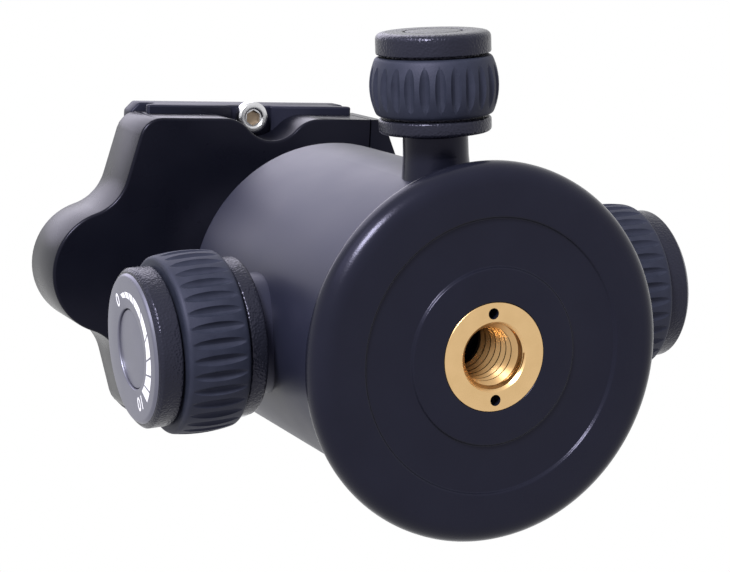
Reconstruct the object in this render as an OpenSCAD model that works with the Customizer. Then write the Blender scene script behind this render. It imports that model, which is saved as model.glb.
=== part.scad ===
// Tripod ball head: panning base, ball housing with three knobs, ball, clamp and camera plate.
// Millimetres. +Z is up along the pan axis. The origin is the mouth of the tripod thread.
// The ball lock knob looks along -X, the friction knob along +X and the pan lock knob along -Y.

/* [Base] */
// Radius of the panning base disc
disc_r = 27.8; // [26.5:0.1:32]
// Thickness of the base disc at its rim
disc_h = 4.2; // [4.2:0.1:6]
// Rounding of the lower rim
disc_edge_r = 3; // [1:0.1:3]
// Rounding of the upper rim
disc_top_edge_r = 1; // [0.4:0.1:1.1]
// Inner radius of the shallow ring recess in the bottom face
recess_in_r = 13; // [10:0.1:15]
// Outer radius of the ring recess
recess_out_r = 20; // [17:0.1:23]
// Depth of the ring recess
recess_depth = 0.45; // [0.2:0.05:1]
// Radius of the tripod thread, 3/8 inch nominal
thread_r = 4.7625; // [3.175, 4.7625]
// Length of the tripod thread
thread_len = 14; // [8:0.5:15]
// Radius of the insert's flange
insert_flange_r = 7.93; // [7.5:0.01:9]
// Thickness of the insert's flange
insert_flange_h = 2.2; // [1.5:0.1:3]
// Radius of the insert's barrel
insert_barrel_r = 6.6; // [5.8:0.1:7]
// Pitch circle diameter of the two spanner holes in the flange
spanner_pcd = 12.65; // [12:0.05:13.5]
// Radius of a spanner hole
spanner_r = 0.8; // [0.5:0.05:0.9]

/* [Pan bearing] */
// Radius of the spindle where it turns in the bearing ring
spindle_r = 11; // [10:0.1:12]
// Radius of the spindle where the pan brake presses on it
brake_r = 9; // [8.4:0.1:9.5]
// Thickness of the bearing ring
bearing_h = 5; // [3:0.1:6]
// Thickness of the sliding washer on the disc
pan_washer_h = 0.5; // [0.3:0.1:1]
// Thickness of the retaining washer and of the nut above it
spindle_washer_h = 0.7; // [0.5:0.1:1.2]
// Thickness of the spindle nut
spindle_nut_h = 2.5; // [2:0.1:3]
// Outer radius of the spindle nut
spindle_nut_r = 14; // [12.5:0.1:15]

/* [Housing] */
// Thickness of the housing's wall round the ball chamber
body_wall = 3.6; // [3:0.1:5]
// Height of the housing's top rim above the bottom face
body_top = 59.4; // [58.5:0.1:62]
// Thickness of the housing's wall round the spindle's cavity
cavity_wall = 7.2; // [6.7:0.1:8.2]
// Thickness of the web between cavity and ball chamber
web_h = 3; // [2:0.1:3.5]
// Rounding of the top rim
body_edge_r = 1; // [0.4:0.1:1.5]

/* [Ball] */
// Radius of the ball
ball_r = 18; // [17:0.1:19]
// Room between the ball and the chamber's wall, for the seat ring and the collar
ball_room = 2.6; // [2.4:0.1:3.2]
// Height of the ball's centre
ball_z = 49; // [48.6:0.1:49.6]
// Radius of the ball's stem
stem_r = 6.5; // [5.5:0.1:7]
// Radius of the stem's flange under the clamp
stem_flange_r = 10; // [8.5:0.1:11]
// Thickness of the nylon seat ring above the ball
seat_wall = 1.2; // [0.8:0.1:1.5]
// Radius of the lower cup
cup_r = 7.8; // [6:0.1:8]

/* [Large knobs] */
// Height of the lock and friction knobs' common axis
lock_z = 33; // [32.5:0.1:33.6]
// Distance of the lock knob's collar from the housing's wall
lock_stand = 1.8; // [1.4:0.1:3]
// Distance of the friction knob's collar from the housing's wall
friction_stand = 5.6; // [1.4:0.1:7]
// Radius of the large knobs' collar
big_collar_r = 12.1; // [11:0.1:12.6]
// Length of the large knobs' collar
big_collar_h = 2.8; // [2:0.1:5]
// Largest radius of the large knobs' rubber grip
big_grip_r = 13.75; // [13.4:0.05:14.5]
// Length of the large knobs' rubber grip
big_grip_h = 9.7; // [8:0.1:12]
// Radius of the large knobs' cap
big_cap_r = 12; // [11:0.1:12.6]
// Length of the large knobs' cap
big_cap_h = 4.1; // [3:0.1:5]
// Number of flutes round the large grips
big_flutes = 36; // [24:1:40]
// Radius of the round boss between housing and large knob
boss_r = 9.2; // [8:0.1:11]
// Radius of the lock and friction screws
lock_screw_r = 3; // [2.5:0.1:3.5]
// Radius of the pads that press on the ball
pad_r = 5.5; // [4.5:0.1:5.8]

/* [Small knobs] */
// Height of the pan knob's axis
pan_z = 17.3; // [17:0.1:18]
// Distance of the pan knob's collar from the housing's wall
pan_stand = 6.3; // [5:0.1:9]
// Radius of the small knobs' collar
small_collar_r = 8.3; // [7.8:0.1:9]
// Length of the small knobs' collar
small_collar_h = 2.2; // [1.5:0.1:3]
// Largest radius of the small knobs' rubber grip
small_grip_r = 9.5; // [9.3:0.1:10]
// Length of the small knobs' rubber grip
small_grip_h = 8.6; // [7:0.1:10]
// Radius of the small knobs' cap
small_cap_r = 8.45; // [8:0.05:9]
// Length of the small knobs' cap
small_cap_h = 3.2; // [2.5:0.1:4]
// Number of flutes round the small grips
small_flutes = 26; // [18:1:28]
// Radius of the pan knob's neck at the knob
neck_r = 4.8; // [4.4:0.1:5.2]
// Radius of the neck at the housing
neck_root_r = 5.2; // [5:0.1:5.8]
// Radius of the pan screw and of the jaw screw
small_screw_r = 2.5; // [2:0.1:2.8]

/* [Clamp] */
// Turn of the clamp about the pan axis, as it stands at rest
clamp_turn = 5; // [0:1:10]
// Height of the clamp's underside
clamp_z = 78; // [77:0.1:80]
// Thickness of the clamp's floor
clamp_floor = 8.7; // [8:0.1:10]
// Half of the clamp's length along the dovetail
clamp_half = 26.2; // [24:0.1:28]
// Distance of the dovetail's middle from the ball's axis
channel_x = -3.9; // [-4.2:0.1:-3]
// Radius of the lobe that holds the level
lobe_r = 10.6; // [9.5:0.1:12]
// Distance of the lobe's centre from the ball's axis
lobe_x = 31.2; // [31:0.1:34]
// Distance of the end notches' middle from the ball's axis
notch_x = -3.2; // [-4:0.1:-3]
// Depth of the notch in each end of the clamp
notch_depth = 3.8; // [3.4:0.1:4.5]
// Thickness of the movable jaw
jaw_w = 7.3; // [6:0.1:8]
// Travel of the movable jaw
jaw_travel = 3; // [2:0.1:4]

/* [Camera plate] */
// Half of the plate's width at the foot of its dovetail
foot_half = 19.2; // [18.5:0.1:19.5]
// Height of the 45 degree flank of the dovetail
flank_h = 2.4; // [2:0.1:2.8]
// Half of the plate's width above the jaws
plate_side = 20.8; // [19.5:0.1:22]
// Half of the plate's length
plate_half = 27.6; // [27.4:0.1:30]
// Thickness of the plate
plate_h = 8.4; // [8:0.1:9.5]
// Radius of the camera screw, 1/4 inch nominal
camera_r = 3.175; // [3.175, 4.7625]
// Length of the camera screw above the pads
camera_len = 5; // [4:0.1:6]
// Travel of the camera screw along its slot, each way
slot_travel = 6; // [3:0.5:8]
// Radius of the stop screws' heads
stop_r = 2.8; // [2.2:0.1:2.9]
// Height by which the stop screws hang below the plate
stop_h = 1.2; // [0.8:0.1:2]
// Play of the plate along the dovetail, each way, before a stop meets the clamp
plate_travel = 0.3; // [0.2:0.1:0.5]

/* [Fits] */
// Radial clearance where a shaft turns or slides
run_gap = 0.05; // [0.02:0.01:0.08]
// Clearance between pieces that stand near each other
part_gap = 0.3; // [0.2:0.05:0.4]
// Clearance of faces that slide on each other
slide_gap = 0.1; // [0.05:0.01:0.15]
// Clearance between the pads and the ball with the knobs loose
pad_gap = 0.45; // [0.42:0.01:0.6]

/* [Hidden] */
$fn = 96;

black = [0.06, 0.06, 0.075];
knob_black = [0.05, 0.05, 0.06];
rubber = [0.11, 0.11, 0.13];
brass = [0.83, 0.6, 0.3];
steel = [0.72, 0.72, 0.74];
alloy = [0.8, 0.8, 0.82];
nylon = [0.85, 0.84, 0.8];
glass_green = [0.62, 0.82, 0.3, 0.5];

// How far a cutter runs past the face that it opens, and a length past every part
over = 1;
far = 60;
// Facets round small holes and round small edges
hole_fn = 32;
edge_fn = 48;

// Radii that follow from the ball
chamber_r = ball_r + ball_room;
body_r = chamber_r + body_wall;
cavity_r = body_r - cavity_wall;
lock_in = body_r + lock_stand;
friction_in = body_r + friction_stand;
pan_in = body_r + pan_stand;

// Heights up the pan bearing
washer_z = disc_h + run_gap;
bearing_z = washer_z + pan_washer_h;
housing_z = disc_h + part_gap;
bearing_top = bearing_z + bearing_h;
spindle_washer_z = bearing_top + run_gap;
shoulder_z = spindle_washer_z + spindle_washer_h + run_gap;
spindle_rise = 3.7;
spindle_top = pan_z + spindle_rise;
spindle_room = 1;
web_z = spindle_top + spindle_room;
web_top = web_z + web_h;
bearing_flange = 4.4;
bearing_out_r = cavity_r + bearing_flange;
bearing_screw_r = 1;
bearing_head_r = 1.9;
bearing_screw_ring = (cavity_r + bearing_out_r) / 2;
bearing_screw_len = 9;
bearing_head_h = 1.5;
bearing_head_set = 0.2;
bearing_socket_r = 0.8;
bearing_socket_h = 1;
pan_washer_margin = 1;
nut_hole_r = 1;
insert_room = 1;
spanner_floor = 0.5;

// Ball chamber
seat_r = ball_r + slide_gap;
seat_out_r = seat_r + seat_wall;
collar_seat_r = seat_out_r + run_gap;
collar_rise = 1;
collar_z = ball_z + collar_rise;
collar_lip = 2.4;
seat_top = body_top - collar_lip;
mouth_inset = 6;
collar_hole_r = 1;
collar_hole_h = 1.2;
collar_hole_inset = 2.6;
cup_room = 2.2;
cup_z = web_top + cup_room;
cup_lip = 2;
cup_stem_set = 0.5;
cup_stem_r = cup_r / 2;
spring_wall = 2.5;

// Pads and their bosses
boss_wall = 2;
boss_barrel_r = pad_r + boss_wall;
boss_cup_gap = 4.7;
boss_end = cup_r + boss_cup_gap;
boss_root = 3;
pad_cup_gap = 2.2;
pad_end = cup_r + pad_cup_gap;
pad_set = 0.6;
pad_back = chamber_r - pad_set;
tip_play = 0.2;
thread_start = pad_back + tip_play;
lock_boss_out = lock_in - part_gap;
friction_boss_out = friction_in - part_gap;
spring_len = 2;
spring_r = 2.6;
spring_band = 1;

// Pan brake
pan_pad_r = 3;
pan_pad_len = 5.6;
brake_gap = 0.35;
neck_out = pan_in - part_gap;
neck_step = 0.6;
neck_shank_r = neck_r - neck_step;
neck_root = 2;
pan_pad_back = brake_r + brake_gap + pan_pad_len;

// Knob drums, measured outwards from each knob's collar
big_grip_sag = 0.5;
small_grip_sag = 1;
drum_wall = 3.1;
small_drum_wall = 2.5;
knob_step = 0.35;
inlay_r = 6;
inlay_depth = 0.8;
inlay_h = 0.5;
big_cap_edge = 0.8;
small_cap_edge = 1;
cap_groove_w = 0.25;
cap_groove_depth = 0.3;
screw_set = 1.2;
flute_depth = 0.55;
flute_cutter_r = 0.95;
small_flute_cutter_r = 0.85;

// Clamp, bolt and jaw
floor_top = clamp_z + clamp_floor;
plate_z = floor_top + slide_gap;
plate_top = plate_z + plate_h;
foot_h = 1.2;
web_half = foot_half - flank_h;
flange_rise = 0.8;
flange_z = plate_z + foot_h + flank_h + flange_rise;
jaw_top = flange_z - 2 * slide_gap;
groove_half = 3.9;
groove_h = 1;
fixed_face = channel_x - foot_half - slide_gap;
moving_face = channel_x + foot_half + slide_gap;
jaw_x = moving_face;
seam_x = jaw_x - part_gap;
jaw_out = jaw_x + jaw_w;
jaw_flat = 2.4;
jaw_slope = 2.3;
corner_r = 4;
corner_x = 26.4;
side_slope = 0.28;
lobe_blend_r = 8;
notch_r = 6;
shoulder_r = 6;
stop_y = clamp_half - notch_depth + stop_r + plate_travel + slide_gap;
stop_shank_r = 1.2;
pin_r = 1.5;
pin_y = 14;
pin_rise = 4.2;
pin_z = clamp_z + pin_rise;
pin_set = 0.8;
screw_rise = 4.5;
screw_z = clamp_z + screw_rise;
screw_play = 0.2;
pin_in = 3;
jaw_screw_room = 4;
jaw_screw_in = seam_x - jaw_travel - jaw_screw_room;
spring_pocket_r = 2.6;
spring_rest = 3;
spring_pocket_len = jaw_travel + spring_rest;
spring_play = 0.2;
jaw_knob_in = jaw_out + part_gap;
level_r = 7.2;
level_depth = 5;
level_floor = jaw_top - level_depth;
vial_r = 5.6;
level_set = 0.2;
vial_set = 0.6;
bolt_r = 3;
bolt_head_r = 5;
bolt_head_h = 3.2;
bolt_len = 15;
bolt_set = 0.3;
bolt_tip_room = 0.5;
hex_r = 2.3;
bolt_hex_depth = 2.3;

// Camera screw and pads
head_r = 7.3;
washer_h = 0.8;
counter_depth = 4.4;
counter_top = plate_z + counter_depth;
slot_play = 0.2;
slot_half = camera_r + slot_play;
head_play = 0.4;
counter_half = head_r + head_play;
head_rise = 0.8;
thread_relief = 0.7;
camera_hex_depth = 1.8;
coin_slot_half = 0.7;
coin_slot_depth = 1;
pad_thick = 1.1;
pad_recess = 0.7;
pad_in = 6.5;
pad_out = 17.2;
pad_margin = 3;
pad_len = 2 * (plate_half - pad_margin);
pad_side_gap = 0.1;
plate_cut = 1.5;
stop_shank_len = 6;
stop_hex_r = 1.4;
stop_hex_depth = 1.4;
pads_top = plate_top - pad_recess + pad_thick;

// ---------------------------------------------------------------- placing
module lock_side() translate([0, 0, lock_z]) rotate([0, -90, 0]) children();
module friction_side() translate([0, 0, lock_z]) rotate([0, 90, 0]) children();
module pan_side() translate([0, 0, pan_z]) rotate([90, 0, 0]) children();
module on_clamp() rotate(clamp_turn) children();
module jaw_side() on_clamp() translate([0, 0, screw_z]) rotate([0, 90, 0]) children();
module both_ends() for (m = [0, 1]) mirror([0, m, 0]) children();

// A ring between two radii, from one height to another
module ring(r_in, r_out, z0, z1) {
    translate([0, 0, z0]) difference() {
        cylinder(r = r_out, h = z1 - z0);
        translate([0, 0, -over]) cylinder(r = r_in, h = z1 - z0 + 2 * over);
    }
}

// ---------------------------------------------------------------- base
module disc_profile() {
    difference() {
        union() {
            square([disc_r - disc_edge_r, disc_h]);
            translate([0, disc_edge_r]) square([disc_r, disc_h - disc_edge_r - disc_top_edge_r]);
            translate([0, disc_edge_r]) square([disc_r - disc_top_edge_r, disc_h - disc_edge_r]);
            translate([disc_r - disc_top_edge_r, disc_h - disc_top_edge_r]) intersection() {
                circle(r = disc_top_edge_r);
                square(disc_top_edge_r);
            }
            translate([disc_r - disc_edge_r, disc_edge_r]) intersection() {
                circle(r = disc_edge_r);
                translate([0, -disc_edge_r]) square(disc_edge_r);
            }
        }
        translate([recess_in_r, -over]) square([recess_out_r - recess_in_r, over + recess_depth]);
        translate([0, -over]) square([insert_flange_r + run_gap, over + insert_flange_h]);
        translate([0, -over]) square([insert_barrel_r + run_gap, disc_h + 2 * over]);
    }
}

module base_disc() {
    color(black) rotate_extrude() disc_profile();
}

// The brass insert screws into the spindle from below and clamps the disc
module spindle() {
    bore_top = thread_len + insert_room;
    color(black) difference() {
        union() {
            translate([0, 0, disc_h]) cylinder(r = spindle_r, h = shoulder_z - disc_h);
            translate([0, 0, disc_h]) cylinder(r = brake_r, h = spindle_top - disc_h);
        }
        translate([0, 0, disc_h - over]) cylinder(r = insert_barrel_r + run_gap, h = bore_top - disc_h + over);
    }
}

module tripod_insert() {
    color(brass) difference() {
        union() {
            cylinder(r = insert_flange_r, h = insert_flange_h);
            cylinder(r = insert_barrel_r, h = thread_len);
        }
        translate([0, 0, -over]) cylinder(r = thread_r, h = thread_len + 2 * over);
        both_ends() translate([0, spanner_pcd / 2, -over])
            cylinder(r = spanner_r, h = over + insert_flange_h - spanner_floor, $fn = hole_fn);
    }
}

module spindle_washer() {
    color(steel) ring(spindle_r + run_gap, spindle_nut_r, spindle_washer_z, spindle_washer_z + spindle_washer_h);
}

module spindle_nut() {
    color(steel) difference() {
        ring(brake_r + run_gap, spindle_nut_r, shoulder_z, shoulder_z + spindle_nut_h);
        both_ends() translate([0, (brake_r + spindle_nut_r) / 2, shoulder_z - over])
            cylinder(r = nut_hole_r, h = spindle_nut_h + 2 * over, $fn = hole_fn);
    }
}

// ---------------------------------------------------------------- housing
module housing_profile() {
    difference() {
        union() {
            translate([0, housing_z]) square([body_r, body_top - body_edge_r - housing_z]);
            translate([0, housing_z]) square([body_r - body_edge_r, body_top - housing_z]);
            translate([body_r - body_edge_r, body_top - body_edge_r]) intersection() {
                circle(r = body_edge_r, $fn = edge_fn);
                square(body_edge_r);
            }
        }
        translate([0, web_z]) square([chamber_r, body_top]);
        square([cavity_r, body_top]);
        square([bearing_out_r + run_gap, bearing_top]);
    }
}

module bearing_screw_holes(r, z0, z1) {
    for (k = [0:2]) rotate(90 + 120 * k) translate([bearing_screw_ring, 0, z0])
        cylinder(r = r, h = z1 - z0, $fn = hole_fn);
}

module housing() {
    color(black) difference() {
        rotate_extrude() housing_profile();
        lock_side() cylinder(r = boss_barrel_r + run_gap, h = body_r + over);
        friction_side() cylinder(r = boss_barrel_r + run_gap, h = body_r + over);
        pan_side() cylinder(r = neck_shank_r + run_gap, h = body_r + over);
        bearing_screw_holes(bearing_screw_r + run_gap, bearing_top - over, bearing_z + bearing_screw_len + over);
    }
}

module chamber_floor() {
    color(black) ring(cup_stem_r + run_gap, chamber_r - run_gap, web_z, web_top);
}

module bearing_ring() {
    color(brass) difference() {
        ring(spindle_r + run_gap, bearing_out_r, bearing_z, bearing_top);
        bearing_screw_holes(bearing_screw_r + run_gap, bearing_z - over, bearing_top + over);
        bearing_screw_holes(bearing_head_r, bearing_z - over, bearing_z + bearing_head_h);
    }
}

module bearing_screws() {
    color(steel) difference() {
        union() {
            bearing_screw_holes(bearing_screw_r, bearing_z + bearing_head_set, bearing_z + bearing_screw_len);
            bearing_screw_holes(bearing_head_r - run_gap, bearing_z + bearing_head_set,
                bearing_z + bearing_head_h - run_gap);
        }
        bearing_screw_holes(bearing_socket_r, bearing_z - over, bearing_z + bearing_socket_h);
    }
}

module pan_washer() {
    color(nylon) ring(spindle_r + 2 * run_gap, bearing_out_r - pan_washer_margin, washer_z,
        washer_z + pan_washer_h);
}

module top_collar() {
    color(black) difference() {
        ring(ball_r - mouth_inset, chamber_r - run_gap, collar_z, body_top);
        translate([0, 0, ball_z]) sphere(r = seat_r + slide_gap);
        intersection() {
            translate([0, 0, ball_z]) sphere(r = collar_seat_r);
            translate([0, 0, collar_z - over]) cylinder(r = chamber_r, h = seat_top + over - collar_z);
        }
        for (a = [45, 225]) rotate(a) translate([chamber_r - collar_hole_inset, 0, body_top - collar_hole_h])
            cylinder(r = collar_hole_r, h = collar_hole_h + over, $fn = hole_fn);
    }
}

module ball_seat_ring() {
    color(nylon) difference() {
        intersection() {
            translate([0, 0, ball_z]) sphere(r = seat_out_r);
            translate([0, 0, collar_z]) cylinder(r = chamber_r, h = seat_top - run_gap - collar_z);
        }
        translate([0, 0, ball_z]) sphere(r = seat_r);
    }
}

module cup_spring() {
    color(steel) ring(cup_stem_r + part_gap, cup_stem_r + spring_wall, web_top, cup_z - part_gap);
}

// A boss in the housing's side: round flange outside, barrel that guides a pad inside
module boss(out) {
    difference() {
        union() {
            translate([0, 0, boss_end]) cylinder(r = boss_barrel_r, h = out - boss_end);
            translate([0, 0, body_r - boss_root]) cylinder(r = boss_r, h = out - body_r + boss_root);
        }
        translate([0, 0, boss_end - over]) cylinder(r = pad_r + run_gap, h = thread_start - boss_end + over);
        cylinder(r = lock_screw_r + run_gap, h = out + over);
    }
}

// The flange keeps only what stands outside the housing's wall
module boss_flange_cut() {
    difference() {
        cylinder(r = body_r, h = body_top);
        lock_side() cylinder(r = boss_barrel_r, h = body_r + over);
        friction_side() cylinder(r = boss_barrel_r, h = body_r + over);
    }
}

module lock_boss() {
    color(black) difference() {
        lock_side() boss(lock_boss_out);
        boss_flange_cut();
        translate([0, 0, ball_z]) sphere(r = ball_r + part_gap);
    }
}

module friction_boss() {
    color(black) difference() {
        friction_side() boss(friction_boss_out);
        boss_flange_cut();
        translate([0, 0, ball_z]) sphere(r = ball_r + part_gap);
    }
}

module pan_neck() {
    color(black) difference() {
        pan_side() union() {
            translate([0, 0, cavity_r]) cylinder(r = neck_shank_r, h = neck_out - cavity_r);
            difference() {
                translate([0, 0, body_r - neck_root])
                    cylinder(r1 = neck_root_r, r2 = neck_r, h = neck_out - body_r + neck_root);
                rotate([-90, 0, 0]) translate([0, 0, -body_r]) cylinder(r = body_r, h = 2 * body_r);
            }
        }
        pan_side() cylinder(r = small_screw_r + run_gap, h = neck_out + over);
    }
}

// ---------------------------------------------------------------- knobs
// The parts of a knob are drawn along +Z, with its collar starting at height z0
module knob_core(z0, collar_r, collar_h, drum_r, drum_h, screw_r) {
    difference() {
        union() {
            translate([0, 0, z0]) cylinder(r = collar_r, h = collar_h);
            translate([0, 0, z0 + collar_h]) cylinder(r = drum_r, h = drum_h);
        }
        translate([0, 0, z0 - over]) cylinder(r = screw_r + run_gap, h = collar_h + drum_h);
    }
}

module knob_grip(z0, drum_r, grip_r, grip_h, sag, flutes, cutter_r) {
    half = grip_h / 2;
    barrel_r = (half * half + sag * sag) / (2 * sag);
    translate([0, 0, z0]) difference() {
        rotate_extrude() intersection() {
            translate([drum_r + run_gap, 0]) square([grip_r, grip_h]);
            translate([grip_r - barrel_r, half]) circle(r = barrel_r, $fn = 180);
        }
        for (k = [0:flutes - 1]) rotate(360 / flutes * k)
            translate([grip_r - flute_depth + cutter_r, 0, -over])
                cylinder(r = cutter_r, h = grip_h + 2 * over, $fn = hole_fn);
    }
}

module knob_cap(z0, cap_r, cap_h, edge) {
    translate([0, 0, z0]) rotate_extrude() union() {
        square([cap_r, cap_h - edge]);
        square([cap_r - edge, cap_h]);
        translate([cap_r - edge, cap_h - edge]) intersection() {
            circle(r = edge, $fn = edge_fn);
            square(edge);
        }
    }
}

big_drum_r = big_grip_r - drum_wall;
small_drum_r = small_grip_r - small_drum_wall;
big_drum_h = big_grip_h + 2 * knob_step;
small_drum_h = small_grip_h + 2 * knob_step;

module big_core(z0) knob_core(z0, big_collar_r, big_collar_h, big_drum_r, big_drum_h, lock_screw_r);
module big_grip(z0)
    knob_grip(z0 + big_collar_h + knob_step, big_drum_r, big_grip_r, big_grip_h, big_grip_sag,
        big_flutes, flute_cutter_r);
module big_cap(z0) {
    cap_z = z0 + big_collar_h + big_drum_h;
    difference() {
        knob_cap(cap_z, big_cap_r, big_cap_h, big_cap_edge);
        translate([0, 0, cap_z + big_cap_h - inlay_depth]) cylinder(r = inlay_r, h = inlay_depth + over);
    }
}
module inlay(z0) {
    cap_top = z0 + big_collar_h + big_drum_h + big_cap_h;
    translate([0, 0, cap_top - inlay_depth]) cylinder(r = inlay_r - run_gap, h = inlay_h);
}
module small_core(z0) knob_core(z0, small_collar_r, small_collar_h, small_drum_r, small_drum_h, small_screw_r);
module small_grip(z0)
    knob_grip(z0 + small_collar_h + knob_step, small_drum_r, small_grip_r, small_grip_h, small_grip_sag,
        small_flutes, small_flute_cutter_r);
module small_cap(z0) {
    cap_z = z0 + small_collar_h + small_drum_h;
    difference() {
        knob_cap(cap_z, small_cap_r, small_cap_h, small_cap_edge);
        ring(small_cap_r / 2, small_cap_r / 2 + cap_groove_w, cap_z + small_cap_h - cap_groove_depth,
            cap_z + small_cap_h + over);
    }
}

module pan_screw() {
    color(steel) pan_side() translate([0, 0, pan_pad_back + slide_gap])
        cylinder(r = small_screw_r, h = pan_in + small_drum_h - pan_pad_back - slide_gap);
}
module pan_knob_core() { color(knob_black) pan_side() small_core(pan_in); }
module pan_knob_grip() { color(rubber) pan_side() small_grip(pan_in); }
module pan_knob_cap() { color(knob_black) pan_side() small_cap(pan_in); }

module pan_pad() {
    color(nylon) difference() {
        pan_side() translate([0, 0, brake_r - over]) cylinder(r = pan_pad_r, h = pan_pad_back - brake_r + over);
        translate([0, 0, pan_z - pan_pad_r - over]) cylinder(r = brake_r + brake_gap, h = 2 * (pan_pad_r + over));
    }
}

module big_screw(z0, start) {
    translate([0, 0, start]) cylinder(r = lock_screw_r, h = z0 + big_collar_h + big_drum_h - screw_set - start);
}

module lock_screw() { color(steel) lock_side() big_screw(lock_in, pad_back + slide_gap); }
module lock_knob_core() { color(knob_black) lock_side() big_core(lock_in); }
module lock_knob_grip() { color(rubber) lock_side() big_grip(lock_in); }
module lock_knob_cap() { color(knob_black) lock_side() big_cap(lock_in); }
module lock_knob_inlay() { color(knob_black) lock_side() inlay(lock_in); }

module friction_screw() { color(steel) friction_side() big_screw(friction_in, pad_back + slide_gap); }
module friction_knob_core() { color(knob_black) friction_side() big_core(friction_in); }
module friction_knob_grip() { color(rubber) friction_side() big_grip(friction_in); }
module friction_knob_cap() { color(knob_black) friction_side() big_cap(friction_in); }
module friction_knob_inlay() { color(knob_black) friction_side() inlay(friction_in); }

// A pad that slides in a boss and is hollowed to the ball
module ball_pad() {
    translate([0, 0, pad_end]) cylinder(r = pad_r, h = pad_back - pad_end);
}

module ball_hollow() {
    translate([0, 0, ball_z]) sphere(r = ball_r + pad_gap);
}

module lock_pad() {
    color(nylon) difference() {
        lock_side() ball_pad();
        ball_hollow();
    }
}

module friction_pad() {
    color(nylon) difference() {
        friction_side() ball_pad();
        ball_hollow();
        friction_side() translate([0, 0, pad_back - spring_len])
            cylinder(r = spring_r + run_gap, h = spring_len + over);
    }
}

module friction_spring() {
    color(steel) friction_side() ring(spring_r - spring_band, spring_r, pad_back - spring_len, pad_back);
}

// ---------------------------------------------------------------- ball
module lower_cup() {
    color(nylon) difference() {
        union() {
            translate([0, 0, cup_z]) cylinder(r = cup_r, h = ball_z - ball_r + cup_lip - cup_z);
            translate([0, 0, web_z + cup_stem_set]) cylinder(r = cup_stem_r, h = cup_z - web_z);
        }
        translate([0, 0, ball_z]) sphere(r = ball_r + slide_gap);
    }
}

ball_flat_margin = 0.5;
ball_flat_r = stem_r + ball_flat_margin;
ball_flat_z = ball_z + sqrt(ball_r * ball_r - ball_flat_r * ball_flat_r);
spigot_r = 4;
spigot_len = 10;
stem_fillet_r = stem_flange_r - stem_r;
stem_flange_h = 1.5;
stem_flange_z = clamp_z - stem_flange_h;

module ball() {
    color(alloy) difference() {
        translate([0, 0, ball_z]) sphere(r = ball_r);
        translate([0, 0, ball_flat_z]) cylinder(r = ball_r, h = ball_r);
        translate([0, 0, ball_flat_z - spigot_len]) cylinder(r = spigot_r + run_gap, h = spigot_len + over);
    }
}

module ball_stem() {
    color(alloy) difference() {
        rotate_extrude() difference() {
            union() {
                translate([0, ball_flat_z - spigot_len + slide_gap]) square([spigot_r, spigot_len + over]);
                translate([0, ball_flat_z + slide_gap]) square([stem_r, clamp_z - ball_flat_z - slide_gap]);
                translate([0, stem_flange_z]) square([stem_flange_r, clamp_z - stem_flange_z]);
                translate([stem_r, stem_flange_z - stem_fillet_r]) square(stem_fillet_r);
            }
            translate([stem_flange_r, stem_flange_z - stem_fillet_r]) circle(r = stem_fillet_r, $fn = 64);
        }
        translate([0, 0, clamp_z - bolt_len + bolt_head_h]) cylinder(r = bolt_r + run_gap, h = bolt_len);
    }
}

// ---------------------------------------------------------------- clamp
// Where the blend circle between the straight side and the lobe has its centre.
// It lies blend_r from the side line and lobe_r + blend_r from the lobe's centre.
side_scale = sqrt(1 + side_slope * side_slope);
side_at_0 = corner_x + side_slope * clamp_half;
corner_mid_x = corner_x + side_slope * corner_r - corner_r * side_scale;
blend_a = 1 + side_slope * side_slope;
blend_c0 = side_at_0 + lobe_blend_r * side_scale - lobe_x;
blend_b = -2 * side_slope * blend_c0;
blend_c = blend_c0 * blend_c0 - pow(lobe_r + lobe_blend_r, 2);
blend_y = (-blend_b + sqrt(blend_b * blend_b - 4 * blend_a * blend_c)) / (2 * blend_a);
blend_x = side_at_0 - side_slope * blend_y + lobe_blend_r * side_scale;

// The notch in each end of the clamp, between rounded shoulders
notch_center_y = clamp_half - notch_depth + notch_r;
shoulder_y = clamp_half - shoulder_r;
shoulder_x = sqrt(pow(notch_r + shoulder_r, 2) - pow(notch_center_y - shoulder_y, 2));
notch_turn = atan2(notch_center_y - shoulder_y, -shoulder_x);
blend_turn = atan2(-blend_y, blend_x - lobe_x);

// The angle by which an arc stays away from a point that its neighbour already has
arc_skip = 5;

// Points along an arc
function arc(x, y, r, from, to, steps) =
    [for (k = [0:steps]) let (a = from + (to - from) * k / steps) [x + r * cos(a), y + r * sin(a)]];

// The half of the outline with positive y, from the seam round to the tip of the lobe
outline_half = concat(
    [[seam_x, clamp_half]],
    arc(notch_x + shoulder_x, shoulder_y, shoulder_r, 90, notch_turn, 8),
    arc(notch_x, notch_center_y, notch_r, notch_turn + 180 - arc_skip, 360 + arc_skip - notch_turn, 16),
    arc(notch_x - shoulder_x, shoulder_y, shoulder_r, 180 - notch_turn, 90, 8),
    arc(-corner_mid_x, clamp_half - corner_r, corner_r, 90, 180 - atan(side_slope), 5),
    arc(-blend_x, blend_y, lobe_blend_r, -atan(side_slope), blend_turn, 10),
    arc(-lobe_x, 0, lobe_r, blend_turn + 180 + arc_skip, 180, 14));

module clamp_outline() {
    last = len(outline_half) - 2;
    polygon(concat(outline_half, [for (k = [last:-1:0]) [outline_half[k][0], -outline_half[k][1]]]));
}

// The lip that holds the dovetail's flank, as it stands out from a jaw's face
module jaw_lip() {
    lip_gap = 1.5 * slide_gap;
    lip_end = jaw_top - floor_top;
    polygon([[-over, foot_h + lip_gap], [0, foot_h + lip_gap], [flank_h, foot_h + flank_h + lip_gap],
        [flank_h, lip_end], [-over, lip_end]]);
}

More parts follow.
